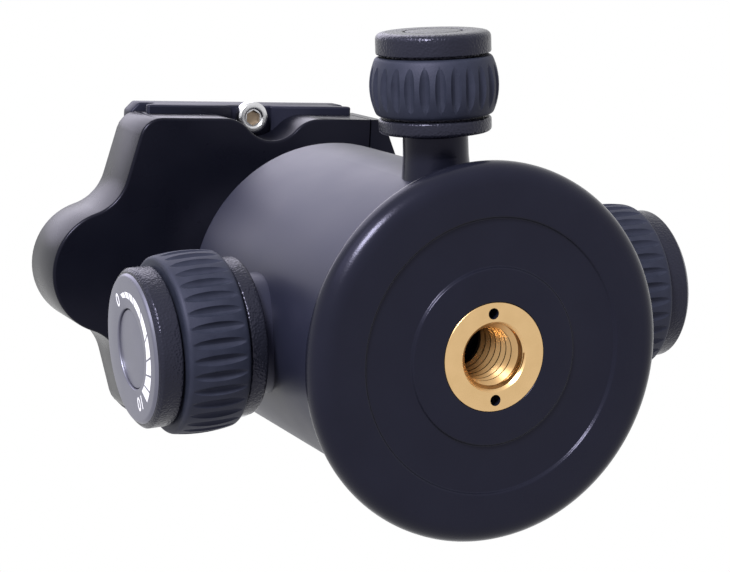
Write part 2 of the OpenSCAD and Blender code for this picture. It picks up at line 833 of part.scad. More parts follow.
module clamp_body() {
    color(black) on_clamp() difference() {
        union() {
            translate([0, 0, clamp_z]) linear_extrude(clamp_floor) clamp_outline();
            translate([0, 0, clamp_z]) linear_extrude(jaw_top - clamp_z) intersection() {
                clamp_outline();
                translate([fixed_face - far, -far]) square([far, 2 * far]);
            }
            translate([fixed_face, clamp_half, floor_top]) rotate([90, 0, 0])
                linear_extrude(2 * clamp_half) jaw_lip();
        }
        both_ends() translate([0, pin_y, pin_z]) rotate([0, 90, 0]) {
            translate([0, 0, pin_in]) cylinder(r = pin_r + run_gap, h = far, $fn = edge_fn);
            translate([0, 0, seam_x - spring_pocket_len]) cylinder(r = spring_pocket_r, h = far, $fn = edge_fn);
        }
        translate([0, 0, screw_z]) rotate([0, 90, 0]) translate([0, 0, bolt_r + over])
            cylinder(r = small_screw_r + run_gap, h = far);
        translate([0, 0, clamp_z - over]) cylinder(r = bolt_r + run_gap, h = far);
        translate([0, 0, floor_top - bolt_head_h - bolt_set]) cylinder(r = bolt_head_r + run_gap, h = far);
        translate([-lobe_x, 0, level_floor]) cylinder(r = level_r + run_gap, h = level_depth + over);
    }
}

module clamp_bolt() {
    color(steel) difference() {
        union() {
            translate([0, 0, floor_top - bolt_head_h - bolt_set]) cylinder(r = bolt_head_r, h = bolt_head_h);
            translate([0, 0, clamp_z - bolt_len + bolt_head_h + bolt_tip_room]) cylinder(r = bolt_r, h = bolt_len);
        }
        translate([0, 0, floor_top - bolt_set - bolt_hex_depth]) cylinder(r = hex_r, h = far, $fn = 6);
    }
}

module level_ring() {
    color(alloy) on_clamp() translate([-lobe_x, 0, 0])
        ring(vial_r + run_gap, level_r, level_floor, level_floor + level_depth - level_set);
}

module level_vial() {
    color(glass_green) on_clamp() translate([-lobe_x, 0, level_floor])
        cylinder(r = vial_r, h = level_depth - vial_set);
}

module guide_pins() {
    color(steel) on_clamp() both_ends() translate([pin_in, pin_y, pin_z]) rotate([0, 90, 0])
        cylinder(r = pin_r, h = jaw_out - pin_set - pin_in, $fn = edge_fn);
}

module jaw_springs() {
    color(steel) on_clamp() both_ends() translate([0, pin_y, pin_z]) rotate([0, 90, 0])
        ring(pin_r + spring_play, spring_pocket_r - spring_play, seam_x - spring_pocket_len,
            seam_x - slide_gap, $fn = edge_fn);
}

// ---------------------------------------------------------------- movable jaw
module jaw_outline() {
    slant = jaw_slope * (jaw_w - jaw_flat);
    polygon([[jaw_x, -clamp_half], [jaw_x + jaw_flat, -clamp_half], [jaw_out, -clamp_half + slant],
        [jaw_out, clamp_half - slant], [jaw_x + jaw_flat, clamp_half], [jaw_x, clamp_half]]);
}

module movable_jaw() {
    color(black) on_clamp() difference() {
        union() {
            translate([0, 0, clamp_z]) linear_extrude(jaw_top - clamp_z) jaw_outline();
            translate([moving_face, -clamp_half, floor_top]) rotate([90, 0, 180])
                linear_extrude(2 * clamp_half) jaw_lip();
        }
        both_ends() translate([0, pin_y, pin_z]) rotate([0, 90, 0])
            cylinder(r = pin_r + run_gap, h = far, $fn = edge_fn);
        translate([0, 0, screw_z]) rotate([0, 90, 0]) cylinder(r = small_screw_r + screw_play, h = far);
    }
}

module jaw_screw() {
    color(steel) jaw_side() translate([0, 0, jaw_screw_in])
        cylinder(r = small_screw_r, h = jaw_knob_in + small_drum_h - jaw_screw_in);
}
module jaw_knob_core() { color(knob_black) jaw_side() small_core(jaw_knob_in); }
module jaw_knob_grip() { color(rubber) jaw_side() small_grip(jaw_knob_in); }
module jaw_knob_cap() { color(knob_black) jaw_side() small_cap(jaw_knob_in); }

// ---------------------------------------------------------------- camera plate
module plate_section() {
    flange_h = flange_z - plate_z;
    half = [[groove_half, groove_h], [groove_half, 0], [foot_half, 0], [foot_half, foot_h],
        [web_half, foot_h + flank_h], [web_half, flange_h], [plate_side, flange_h], [plate_side, plate_h]];
    polygon(concat(half, [for (k = [len(half) - 1:-1:0]) [-half[k][0], half[k][1]]]));
}

module slot(half_w, travel, z0, z1) {
    translate([0, 0, z0]) linear_extrude(z1 - z0) union() {
        translate([-half_w, -travel]) square([2 * half_w, 2 * travel]);
        both_ends() translate([0, travel]) circle(r = half_w);
    }
}

module on_plate() on_clamp() translate([channel_x, 0, 0]) children();

// A square post that takes the sharp vertical corner off the plate
module plate_corner() {
    post = sqrt(2) * plate_cut;
    translate([plate_side, plate_half, plate_z - over]) rotate(45) translate([-post / 2, -post / 2, 0])
        cube([post, post, plate_h + 2 * over]);
}

module camera_plate() {
    color(black) on_plate() difference() {
        translate([0, plate_half, plate_z]) rotate([90, 0, 0]) linear_extrude(2 * plate_half) plate_section();
        slot(slot_half, slot_travel, plate_z - over, plate_top + over);
        slot(counter_half, slot_travel, plate_z - over, counter_top);
        for (m = [0, 1]) mirror([m, 0, 0]) translate([pad_in, -pad_len / 2, plate_top - pad_recess])
            cube([pad_out - pad_in, pad_len, pad_recess + over]);
        both_ends() translate([0, stop_y, plate_z])
            cylinder(r = stop_shank_r + run_gap, h = stop_shank_len + tip_play, $fn = edge_fn);
        both_ends() for (m = [0, 1]) mirror([m, 0, 0]) plate_corner();
    }
}

module plate_pad() {
    translate([pad_in + pad_side_gap, pad_side_gap - pad_len / 2, plate_top - pad_recess])
        cube([pad_out - pad_in - 2 * pad_side_gap, pad_len - 2 * pad_side_gap, pad_thick]);
}
module plate_pad_left() { color(rubber) on_plate() mirror([1, 0, 0]) plate_pad(); }
module plate_pad_right() { color(rubber) on_plate() plate_pad(); }

module stop_screws() {
    color(steel) on_plate() both_ends() translate([0, stop_y, 0]) difference() {
        union() {
            translate([0, 0, plate_z - stop_h]) cylinder(r = stop_r, h = stop_h + groove_h, $fn = edge_fn);
            translate([0, 0, plate_z - stop_h])
                cylinder(r = stop_shank_r, h = stop_h + stop_shank_len, $fn = edge_fn);
        }
        translate([0, 0, plate_z - stop_h - over]) cylinder(r = stop_hex_r, h = over + stop_hex_depth, $fn = 6);
    }
}

washer_z0 = counter_top - slide_gap - washer_h;

module screw_washer() {
    color(nylon) on_plate() ring(camera_r + run_gap, head_r, washer_z0, washer_z0 + washer_h);
}

module camera_screw() {
    head_z = plate_z + head_rise;
    color(steel) on_plate() difference() {
        union() {
            translate([0, 0, head_z]) cylinder(r = head_r, h = washer_z0 - slide_gap - head_z);
            translate([0, 0, head_z]) cylinder(r = camera_r - thread_relief, h = pads_top - head_z);
            translate([0, 0, washer_z0 - slide_gap]) cylinder(r = camera_r, h = washer_h + slide_gap);
            translate([0, 0, pads_top]) cylinder(r = camera_r, h = camera_len);
        }
        translate([0, 0, head_z - over]) cylinder(r = hex_r, h = over + camera_hex_depth, $fn = 6);
        translate([-head_r - over, -coin_slot_half, head_z - over])
            cube([2 * (head_r + over), 2 * coin_slot_half, over + coin_slot_depth]);
    }
}

base_disc();
spindle();
tripod_insert();
spindle_washer();
spindle_nut();
housing();
chamber_floor();
bearing_ring();
bearing_screws();
pan_washer();
top_collar();
ball_seat_ring();
cup_spring();
lock_boss();
friction_boss();
pan_neck();
pan_screw();
pan_knob_core();
pan_knob_grip();
pan_knob_cap();
pan_pad();
lock_screw();
lock_knob_core();
lock_knob_grip();
lock_knob_cap();
lock_knob_inlay();
lock_pad();
friction_screw();
friction_knob_core();
friction_knob_grip();
friction_knob_cap();
friction_knob_inlay();
friction_pad();
friction_spring();
lower_cup();
ball();
ball_stem();
clamp_bolt();
clamp_body();
level_ring();
level_vial();
guide_pins();
jaw_springs();
movable_jaw();
jaw_screw();
jaw_knob_core();
jaw_knob_grip();
jaw_knob_cap();
camera_plate();
plate_pad_left();
plate_pad_right();
stop_screws();
screw_washer();
camera_screw();
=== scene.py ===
# %% [markdown]
# # A tripod ball head
#
# The object is a black ball head for a tripod: a panning base with a brass threaded insert, a
# round housing with three rubber knobs, a ball, and a quick-release clamp with a camera plate.
# The solids of the mechanism come from the CAD frame. This lesson dresses them: each piece that
# shows is modelled again with soft edges, flutes, threads and grain, and rides on its CAD body.

# %% Frame and units
import math

import bpy
from mathutils import Matrix, Vector


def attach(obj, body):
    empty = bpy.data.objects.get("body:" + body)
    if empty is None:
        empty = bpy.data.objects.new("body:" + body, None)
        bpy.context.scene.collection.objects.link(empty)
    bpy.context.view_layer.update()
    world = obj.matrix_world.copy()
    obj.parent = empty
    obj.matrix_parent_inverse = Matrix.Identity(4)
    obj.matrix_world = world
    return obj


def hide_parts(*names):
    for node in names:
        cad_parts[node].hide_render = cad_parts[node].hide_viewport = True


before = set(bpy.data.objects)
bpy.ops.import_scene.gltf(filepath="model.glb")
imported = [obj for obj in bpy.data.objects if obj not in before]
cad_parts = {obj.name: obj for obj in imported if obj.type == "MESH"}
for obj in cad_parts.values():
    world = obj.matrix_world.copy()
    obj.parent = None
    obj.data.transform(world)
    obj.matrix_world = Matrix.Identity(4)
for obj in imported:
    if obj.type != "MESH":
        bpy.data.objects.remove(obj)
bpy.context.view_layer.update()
MM = 0.001

# %% [markdown]
# ## The camera
#
# The photograph looks up at the base, with the pan axis running away from the viewer. The
# camera could be turned by eye until it looks right, but its place was worked out from the
# rims of the base, the body and the knobs. The three rows below are the picture's right,
# down and forward directions, seen in the part's own frame.

# %% Camera
RIGHT = Vector((0.90857131, 0.03049898, -0.41661492))
DOWN = Vector((-0.11062099, 0.97929245, -0.16955619))
FORWARD = Vector((0.40281655, 0.20014024, 0.89313085))
ORIGIN_SEEN = Vector((18.43, 10.14, 299.84)) * MM
FOCAL_PIXELS = 2110.1
PICTURE_WIDTH = 730

turn = Matrix((RIGHT, -DOWN, -FORWARD)).transposed()
eye = -(RIGHT * ORIGIN_SEEN.x + DOWN * ORIGIN_SEEN.y + FORWARD * ORIGIN_SEEN.z)
bpy.ops.object.camera_add(location=eye, rotation=turn.to_euler())
camera = bpy.context.object
camera.data.sensor_width = 36
camera.data.lens = FOCAL_PIXELS * camera.data.sensor_width / PICTURE_WIDTH
camera.data.clip_start = 0.02
camera.data.clip_end = 20
bpy.context.scene.camera = camera
print("camera at", [round(v, 3) for v in eye], "lens", round(camera.data.lens, 1))

# %% [markdown]
# ## Light
#
# A studio shot of a black object is mostly reflections: large pale panels give the long soft
# highlights, and what they leave out stays black. One panel hangs above the head, one stands
# to the side that the body and the base rim shine towards, and a small bright one draws the
# lines of light on the rims. The world is plain white where it is seen, straight or in a
# mirror, and a little darker where it only gives light, so that the panels still count.


# %% World and panels
HEAD_MIDDLE = Vector((0, 0, 0.045))


def panel(name, place, size, radiance, colour=(1, 1, 1)):
    """A square area lamp aimed at the head. Its power follows from how bright it should look."""
    aim = (HEAD_MIDDLE - Vector(place)).to_track_quat("-Z", "Y")
    bpy.ops.object.light_add(type="AREA", location=place, rotation=aim.to_euler())
    lamp = bpy.context.object
    lamp.name = name
    lamp.data.size = size
    lamp.data.energy = radiance * math.pi * size * size
    lamp.data.color = colour
    lamp.visible_camera = False


LAVENDER = (0.84, 0.8, 1.0)
panel("panel_above", (-0.02, -0.34, 0.56), 0.56, 1.9, LAVENDER)
panel("panel_side", (-0.38, -0.42, 0.0), 0.3, 2.0, LAVENDER)
panel("panel_rim", (-0.27, -0.4, -0.22), 0.15, 72.0)

world = bpy.data.worlds.new("studio")
bpy.context.scene.world = world
world.use_nodes = True
sky = world.node_tree
sky.nodes.clear()
ray = sky.nodes.new("ShaderNodeLightPath")
dim, white = sky.nodes.new("ShaderNodeBackground"), sky.nodes.new("ShaderNodeBackground")
dim.inputs["Color"].default_value = (0.56, 0.55, 0.64, 1)
white.inputs["Color"].default_value = (1, 1, 1, 1)
seen, seen_all = sky.nodes.new("ShaderNodeMath"), sky.nodes.new("ShaderNodeMath")
seen.operation = seen_all.operation = "MAXIMUM"
mixed, out = sky.nodes.new("ShaderNodeMixShader"), sky.nodes.new("ShaderNodeOutputWorld")
for source, target in (
    (ray.outputs["Is Camera Ray"], seen.inputs[0]),
    (ray.outputs["Is Glossy Ray"], seen.inputs[1]),
    (seen.outputs[0], seen_all.inputs[0]),
    (ray.outputs["Is Transmission Ray"], seen_all.inputs[1]),
    (seen_all.outputs[0], mixed.inputs[0]),
    (dim.outputs[0], mixed.inputs[1]),
    (white.outputs[0], mixed.inputs[2]),
    (mixed.outputs[0], out.inputs[0]),
):
    sky.links.new(source, target)
bpy.context.scene.view_settings.view_transform = "Standard"

# %% [markdown]
# ## Finishes
#
# A finish is a small network of nodes. Wiring it node by node is long, so a wrapper class lets
# the maths be written as Python: `noise * 0.2 + 0.3` adds two Math nodes. What varies over a
# surface goes to colour, roughness or bump, which can be baked later.


# %% A wrapper for wiring
class Wire:
    """One output socket of a node, with + and * that add Math nodes."""

    def __init__(self, finish, socket):
        self.finish, self.socket = finish, socket

    def _math(self, operation, other):
        return self.finish.node("ShaderNodeMath", {"operation": operation}, [self, other])

    def __add__(self, other):
        return self._math("ADD", other)

    def __mul__(self, other):
        return self._math("MULTIPLY", other)


class Finish:
    """A new material with one Principled shader. Sockets are set by name."""

    def __init__(self, name, **sockets):
        self.material = bpy.data.materials.new(name)
        self.material.use_nodes = True
        self.tree = self.material.node_tree
        self.shader = self.tree.nodes["Principled BSDF"]
        for socket, value in sockets.items():
            self.set(socket.replace("_", " "), value)

    def node(self, kind, settings=None, inputs=(), output=0):
        """Adds a node. Its settings come first, then the values or wires of its inputs."""
        made = self.tree.nodes.new(kind)
        for key, value in (settings or {}).items():
            setattr(made, key, value)
        pairs = inputs.items() if isinstance(inputs, dict) else enumerate(inputs)
        for key, value in pairs:
            self._feed(made.inputs[key], value)
        return Wire(self, made.outputs[output])

    def _feed(self, socket, value):
        if isinstance(value, Wire):
            self.tree.links.new(value.socket, socket)
        elif socket.type == "RGBA" and len(value) == 3:
            socket.default_value = (*value, 1)
        else:
            socket.default_value = value

    def set(self, socket, value):
        self._feed(self.shader.inputs[socket], value)

    def place(self):
        """Object coordinates, which are the part's own because every piece sits at the origin."""
        return self.node("ShaderNodeTexCoord", output="Object")

    def noise(self, size, detail=2.0):
        """Noise whose grains are about size millimetres across, from 0 to 1."""
        inputs = {"Vector": self.place(), "Scale": 1 / (size * MM), "Detail": detail}
        return self.node("ShaderNodeTexNoise", {}, inputs, "Fac")

    def bump(self, height, depth, strength=1.0):
        """Feeds a height from 0 to 1 to the surface normal. depth is in millimetres."""
        inputs = {"Height": height, "Distance": depth * MM, "Strength": strength}
        self.set("Normal", self.node("ShaderNodeBump", {}, inputs, "Normal"))

    def tint(self, dark, light, mask):
        """Mixes two colours by a mask from 0 to 1 into the base colour."""
        inputs = {"Factor": mask, "A": dark, "B": light}
        mixed = self.tree.nodes.new("ShaderNodeMix")
        mixed.data_type = "RGBA"
        for socket in mixed.inputs:
            if socket.enabled:
                self._feed(socket, inputs[socket.name])
        result = next(s for s in mixed.outputs if s.enabled)
        self.set("Base Color", Wire(self, result))


# %% [markdown]
# ### Black metal
#
# The body, base, clamp and plate are cast or turned aluminium under a fine satin black coat.
# A flat black would look like a hole, so the coat gets a very fine grain in its bump and slow
# patches in its roughness, as from handling. The body's copy of the coat is lighter, as painted
# light, and the clamp's copy is darker, as painted shade.


# %% Satin black coat
COOL = (0.74, 0.72, 1.0, 1.0)
COAT_LOW, COAT_HIGH = (0.0065, 0.007, 0.014), (0.0105, 0.0115, 0.021)


def satin_black(name, roughness, gloss, share=1.0, grain=0.25, depth=0.006):
    """A cool black. share scales its colour, so copies of one coat carry painted light and shade; grain and
    depth scale its bump, in millimetres.
    """
    coat = Finish(name, Specular_IOR_Level=gloss, Specular_Tint=COOL)
    patches = coat.noise(9, 3)
    coat.tint([c * share for c in COAT_LOW], [c * share for c in COAT_HIGH], patches)
    coat.set("Roughness", patches * 0.1 + (roughness - 0.05))
    coat.bump(coat.noise(grain, 1), depth)
    return coat.material


# Painted light: the body's copy of the coat is lighter and more violet, standing in for the light its coat
# reflects.
lit_body_coat = satin_black("lit_body_coat", roughness=0.4, gloss=0.26, share=1.4)
base_coat = satin_black("base_coat", roughness=0.24, gloss=0.2, share=0.7, grain=0.32, depth=0.01)
# Painted shade: the clamp's copy of the coat, also worn by the jaw, is darker for the shade under the body.
shaded_clamp_coat = satin_black("shaded_clamp_coat", roughness=0.28, gloss=0.14, share=0.35)
plate_coat = satin_black("plate_coat", roughness=0.42, gloss=0.16, grain=0.35, depth=0.012)

# %% [markdown]
# ### Knob plastics and rubber
#
# Cap and collar of a knob are moulded with a pebbled grain that glitters where a lamp meets it.
# Voronoi cells about a third of a millimetre wide make its pebbles. The cap's face is smoother
# and shines like pewter. The grip is matte rubber with a dusty look.


# %% Plastics, rubber and paint
PEBBLE = 0.36


def pebbled_plastic():
    grain = Finish("pebbled_plastic", Specular_IOR_Level=0.26, Specular_Tint=COOL)
    cells = grain.node(
        "ShaderNodeTexVoronoi",
        {"feature": "SMOOTH_F1"},
        {"Vector": grain.place(), "Scale": 1 / (PEBBLE * MM), "Smoothness": 0.5},
        "Distance",
    )
    grain.tint((0.007, 0.0075, 0.012), (0.013, 0.0138, 0.021), grain.noise(5))
    grain.set("Roughness", grain.noise(1.2) * 0.1 + 0.2)
    grain.bump(cells, 0.09, 0.8)
    return grain.material


def smooth_plastic():
    face = Finish("cap_face_plastic", Metallic=0.7)
    face.tint((0.125, 0.125, 0.165), (0.165, 0.165, 0.212), face.noise(4))
    face.set("Roughness", face.noise(2) * 0.08 + 0.3)
    face.bump(face.noise(0.18, 1), 0.006)
    return face.material


def grip_rubber():
    rubber = Finish("grip_rubber", Specular_IOR_Level=0.3, Specular_Tint=COOL)
    dust = rubber.noise(1.6, 4)
    rubber.tint((0.007, 0.009, 0.017), (0.019, 0.022, 0.036), dust)
    rubber.set("Roughness", dust * 0.15 + 0.5)
    rubber.bump(rubber.noise(0.22, 2), 0.03, 0.8)
    return rubber.material


pebbled = pebbled_plastic()
cap_face = smooth_plastic()
rubber = grip_rubber()
white_paint = Finish("dial_paint", Base_Color=(0.86, 0.86, 0.88))
white_paint.set("Roughness", white_paint.noise(0.4) * 0.1 + 0.45)
white_paint = white_paint.material

# %% [markdown]
# ### Bare metals
#
# The insert is turned brass: fine rings from the lathe catch the light, and the flange is
# slightly duller in patches. Its thread is darker brass, painted shade for the inside of the bore.
# Screws are plated steel, the ball and the stem polished alloy. The level's spirit is green, and
# its bubble is air: where light passes from spirit to air the index is that of air over that of
# the spirit.


# %% Metals
def metal(name, dark, light, roughness, ring=0.0, patch=3.0):
    """A bare metal with slow patches. ring is the width of its lathe rings in millimetres."""
    bare = Finish(name, Metallic=1.0)
    cloud = bare.noise(patch, 3)
    bare.tint(dark, light, cloud)
    bare.set("Roughness", cloud * 0.12 + roughness)
    if ring:
        rings = bare.node(
            "ShaderNodeTexWave",
            {"wave_type": "RINGS", "rings_direction": "Z"},
            {"Vector": bare.place(), "Scale": 1 / (ring * MM), "Distortion": 0.6, "Detail": 1.0},
            "Fac",
        )
        bare.bump(rings, 0.004)
    else:
        bare.bump(bare.noise(0.3, 2), 0.003)
    return bare.material


insert_brass = metal("insert_brass", (0.60, 0.40, 0.19), (0.72, 0.49, 0.25), 0.26, ring=0.9)
# Painted shade: the thread's brass is darker for the shade inside the bore.
shaded_thread_brass = metal("shaded_thread_brass", (0.44, 0.27, 0.12), (0.60, 0.39, 0.19), 0.22)
bearing_brass = metal("bearing_brass", (0.55, 0.40, 0.18), (0.66, 0.48, 0.24), 0.3)
plated_steel = metal("plated_steel", (0.55, 0.55, 0.57), (0.72, 0.72, 0.74), 0.16)
dark_steel = metal("socket_steel", (0.30, 0.22, 0.15), (0.42, 0.33, 0.24), 0.3)
polished_alloy = metal("polished_alloy", (0.72, 0.72, 0.74), (0.82, 0.82, 0.84), 0.08, patch=8)

nylon = Finish("nylon", Subsurface_Weight=0.1)
nylon.tint((0.62, 0.61, 0.56), (0.74, 0.73, 0.68), nylon.noise(3))
nylon.set("Roughness", nylon.noise(1.0) * 0.1 + 0.45)
nylon = nylon.material

SPIRIT_INDEX = 1.36
spirit = Finish("level_spirit", Transmission_Weight=1.0, IOR=SPIRIT_INDEX, Roughness=0.02)
spirit.tint((0.50, 0.80, 0.16), (0.60, 0.88, 0.24), spirit.noise(4))
spirit = spirit.material
air = Finish("level_air", Transmission_Weight=1.0, IOR=1 / SPIRIT_INDEX)
air.set("Roughness", air.noise(2) * 0.02 + 0.01)
air = air.material
ink = Finish("level_ink", Base_Color=(0.01, 0.01, 0.012))
ink.set("Roughness", ink.noise(1.0) * 0.1 + 0.35)
ink = ink.material
print(len(bpy.data.materials), "finishes")

# %% [markdown]
# ## Tools of the bench
#
# Almost every piece here was turned on a lathe, so the main tool does the same: it draws an
# outline vertex by vertex and spins it about its axis. The corners of the outline are rounded
# first, because no real edge is sharp and it is the edge that catches the light.


# %% Helpers: selecting, turning, cutting
def deselect():
    bpy.ops.object.select_all(action="DESELECT")


def use(*pieces):
    """Selects the pieces and makes the first one active."""
    deselect()
    for piece in pieces:
        piece.select_set(True)
    bpy.context.view_layer.objects.active = pieces[0]


def join(pieces, name):
    use(*pieces)
    bpy.ops.object.join()
    pieces[0].name = name
    return pieces[0]


def weld(piece, reach=1e-6):
    """Merges vertices closer than reach and turns all faces outwards."""
    use(piece)
    bpy.ops.object.mode_set(mode="EDIT")
    bpy.ops.mesh.select_all(action="SELECT")
    bpy.ops.mesh.remove_doubles(threshold=reach)
    bpy.ops.mesh.normals_make_consistent(inside=False)
    bpy.ops.object.mode_set(mode="OBJECT")


ARC_STEP = math.radians(15)


def rounded(outline, closed):
    """Replaces each point (r, z, radius) of an outline by an arc. A point may have no radius."""
    result = []
    count = len(outline)
    for k, point in enumerate(outline):
        radius = point[2] if len(point) > 2 else 0
        here = Vector(point[:2])
        if not radius or (not closed and k in (0, count - 1)):
            result.append(here)
            continue
        back = (Vector(outline[k - 1][:2]) - here).normalized()
        ahead = (Vector(outline[(k + 1) % count][:2]) - here).normalized()
        half = back.angle(ahead) / 2
        reach = radius / math.tan(half)
        middle = here + (back + ahead).normalized() * (radius / math.sin(half))
        start, end = here + back * reach - middle, here + ahead * reach - middle
        sweep = start.angle_signed(end)
        steps = max(2, round(abs(sweep) / ARC_STEP))
        for s in range(steps + 1):
            result.append(middle + Matrix.Rotation(-sweep * s / steps, 2) @ start)
    return result


def turned(name, outline, closed=True, steps=128):
    """Spins an outline of (radius, height, rounding) in mm about Z. A closed one is a ring."""
    points = rounded(outline, closed)
    if closed:
        points.append(points[0])
    deselect()
    bpy.ops.mesh.primitive_plane_add(size=MM)
    piece = bpy.context.object
    piece.name = name
    bpy.ops.object.mode_set(mode="EDIT")
    bpy.ops.mesh.select_mode(type="VERT")
    bpy.ops.mesh.select_all(action="SELECT")
    bpy.ops.mesh.merge(type="CENTER")
    bpy.ops.transform.translate(value=(points[0].x * MM, 0, points[0].y * MM))
    for a, b in zip(points, points[1:]):
        step = ((b.x - a.x) * MM, 0, (b.y - a.y) * MM)
        bpy.ops.mesh.extrude_vertices_move(TRANSFORM_OT_translate={"value": step})
    bpy.ops.mesh.select_all(action="SELECT")
    bpy.ops.mesh.remove_doubles(threshold=1e-6)
    bpy.ops.mesh.spin(steps=steps, angle=math.tau, center=(0, 0, 0), axis=(0, 0, 1))
    bpy.ops.object.mode_set(mode="OBJECT")
    weld(piece, 2e-6)
    return piece


def settle(piece, matrix=Matrix()):
    """Moves the piece by the matrix and applies its place, so that its object sits at the origin."""
    use(piece)
    piece.matrix_world = matrix @ piece.matrix_world
    bpy.ops.object.transform_apply(location=True, rotation=True, scale=True)
    return piece


def apply_modifier(piece, kind, **settings):
    use(piece)
    bpy.ops.object.modifier_add(type=kind)
    modifier = piece.modifiers[-1]
    for key, value in settings.items():
        setattr(modifier, key, value)
    bpy.ops.object.modifier_apply(modifier=modifier.name)


def cut(piece, cutter):
    """Cuts a tool out of the piece and throws the tool away."""
    apply_modifier(piece, "BOOLEAN", object=cutter, operation="DIFFERENCE", solver="EXACT")
    bpy.data.objects.remove(cutter)


TURN_STEPS = 64


def threaded(name, core_r, top_r, pitch, low, high, flat=0.1):
    """A screw thread as a closed ridge: a profile with a flat top wound up along a helix."""
    turns = (high - low) / pitch
    deselect()
    bpy.ops.mesh.primitive_circle_add(vertices=4, radius=MM, fill_type="NGON")
    ridge = bpy.context.object
    ridge.name = name
    half = 0.47 * pitch
    corners = [(core_r, -half), (top_r, -flat), (top_r, flat), (core_r, half)]
    for vertex, (r, z) in zip(ridge.data.vertices, corners):
        vertex.co = (r * MM, 0, (z + low) * MM)
    steps = round(TURN_STEPS * turns)
    apply_modifier(
        ridge, "SCREW", angle=math.tau * turns, screw_offset=(high - low) * MM, steps=steps, render_steps=steps
    )
    weld(ridge)
    return ridge


def dress(piece, body, material, replaces=(), smooth=32):
    """Gives a finished piece its finish, its body and the CAD nodes it stands for."""
    piece.data.materials.clear()
    piece.data.materials.append(material)
    use(piece)
    bpy.ops.object.shade_smooth_by_angle(angle=math.radians(smooth))
    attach(piece, body)
    if replaces:
        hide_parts(*replaces)
    return piece


# %% [markdown]
# ## Directions of the knobs
#
# The knobs lie on four sides. Each is modelled upright and then laid over by one of these
# matrices, which the CAD frame uses too: the lock knob looks along -X, the friction knob
# along +X, the pan knob along -Y, and the jaw knob along the clamp.

# %% Directions
KNOB_Z, PAN_Z, JAW_Z = 33, 17.3, 82.5
CLAMP_TURN = math.radians(5)


def lift(z):
    return Matrix.Translation((0, 0, z * MM))


clamp_side = Matrix.Rotation(CLAMP_TURN, 4, "Z")
lock_side = lift(KNOB_Z) @ Matrix.Rotation(math.radians(-90), 4, "Y")
friction_side = lift(KNOB_Z) @ Matrix.Rotation(math.radians(90), 4, "Y")
pan_side = lift(PAN_Z) @ Matrix.Rotation(math.radians(90), 4, "X")
jaw_side = clamp_side @ lift(JAW_Z) @ Matrix.Rotation(math.radians(90), 4, "Y")

# %% [markdown]
# ## The panning base
#
# A turned disc with a large rounding on the lower rim and a shallow ring recess. The lips of
# the recess are only a few tenths of a millimetre wide, but they draw the two bright arcs in
# the photograph, so they are real roundings and not bump.

# %% Base disc
DISC_R, DISC_TOP, SEAT_R, SEAT_TOP, SPINDLE_BORE = 27.8, 4.2, 7.98, 2.2, 6.65
RECESS_IN, RECESS_OUT, RECESS_DEPTH = 13.1, 19.9, 0.48
disc = turned(
    "base_disc_turned",
    [
        (SPINDLE_BORE, SEAT_TOP), (SEAT_R, SEAT_TOP), (SEAT_R, 0, 0.15), (RECESS_IN - 0.3, 0, 0.3),
        (RECESS_IN, RECESS_DEPTH, 0.25), (RECESS_OUT, RECESS_DEPTH, 0.25), (RECESS_OUT + 0.3, 0, 0.35),
        (DISC_R, 0, 3.0), (DISC_R, DISC_TOP, 0.9), (SPINDLE_BORE, DISC_TOP),
    ],
    steps=192,
)
dress(disc, "base", base_coat, ["base_disc"])

# %% [markdown]
# ## The threaded insert
#
# A brass bush with a flange, a chamfered mouth and two holes for a pin spanner, whose walls get
# the black coat as painted shade. The thread is a real helix: a small profile is wound up the bore,
# one turn for each pitch of 1.5875 mm. Over its first half turn it fades into the wall, as a tapped
# thread does where the tool ran in.

# %% Insert
FLANGE_R, BORE_R, MOUTH_R, TUBE_R, TUBE_TOP = 7.93, 4.76, 5.15, 6.6, 14
insert = turned(
    "insert_flange",
    [
        (BORE_R, TUBE_TOP), (BORE_R, 0.45), (MOUTH_R, 0.02, 0.05), (FLANGE_R, 0, 0.12), (FLANGE_R, SEAT_TOP),
        (TUBE_R, SEAT_TOP), (TUBE_R, TUBE_TOP),
    ],
)
SPANNER_AT, SPANNER_R = 6.325, 0.82
for side in (1, -1):
    deselect()
    bpy.ops.mesh.primitive_cylinder_add(
        vertices=40, radius=SPANNER_R * MM, depth=3 * MM, location=(0, side * SPANNER_AT * MM, MM)
    )
    cut(insert, bpy.context.object)
apply_modifier(insert, "BEVEL", width=0.06 * MM, segments=2, limit_method="ANGLE", angle_limit=math.radians(50))
dress(insert, "base", insert_brass, ["tripod_insert"])
# Painted shade: the brass walls of the spanner holes get the black coat, so the holes look dark.
insert.data.materials.append(base_coat)
for polygon in insert.data.polygons:
    x, y, z = polygon.center / MM
    if z > 0.1 and math.hypot(x, abs(y) - SPANNER_AT) < SPANNER_R + 0.02:
        polygon.material_index = 1

PITCH, ROOT_R, CREST_R = 1.5875, 4.82, 4.02
FADE_VERTICES = 4 * TURN_STEPS // 2
thread = threaded("insert_thread", ROOT_R, CREST_R, PITCH, 0.9, 13.2, flat=0.12)
for vertex in thread.data.vertices:
    reach, lead = vertex.co.xy.length / MM, min(vertex.index / FADE_VERTICES, 1)
    vertex.co.xy *= (ROOT_R + (reach - ROOT_R) * lead) / reach
dress(thread, "base", shaded_thread_brass, smooth=25)
print("thread:", len(thread.data.polygons), "faces")

# %% [markdown]
# ## The housing
#
# The housing is a turned tube with an inner step that carries the chamber's floor. Two round
# bosses and a neck are set into its wall; on the real head they are part of the casting.

# %% Housing
def post(radius, low, high, side=Matrix(), corners=64):
    """A cylinder in mm along a knob's axis, used as a cutter. Six corners make it a hexagon."""
    deselect()
    bpy.ops.mesh.primitive_cylinder_add(
        vertices=corners, radius=radius * MM, depth=(high - low) * MM, location=(0, 0, (low + high) / 2 * MM)
    )
    return settle(bpy.context.object, side)


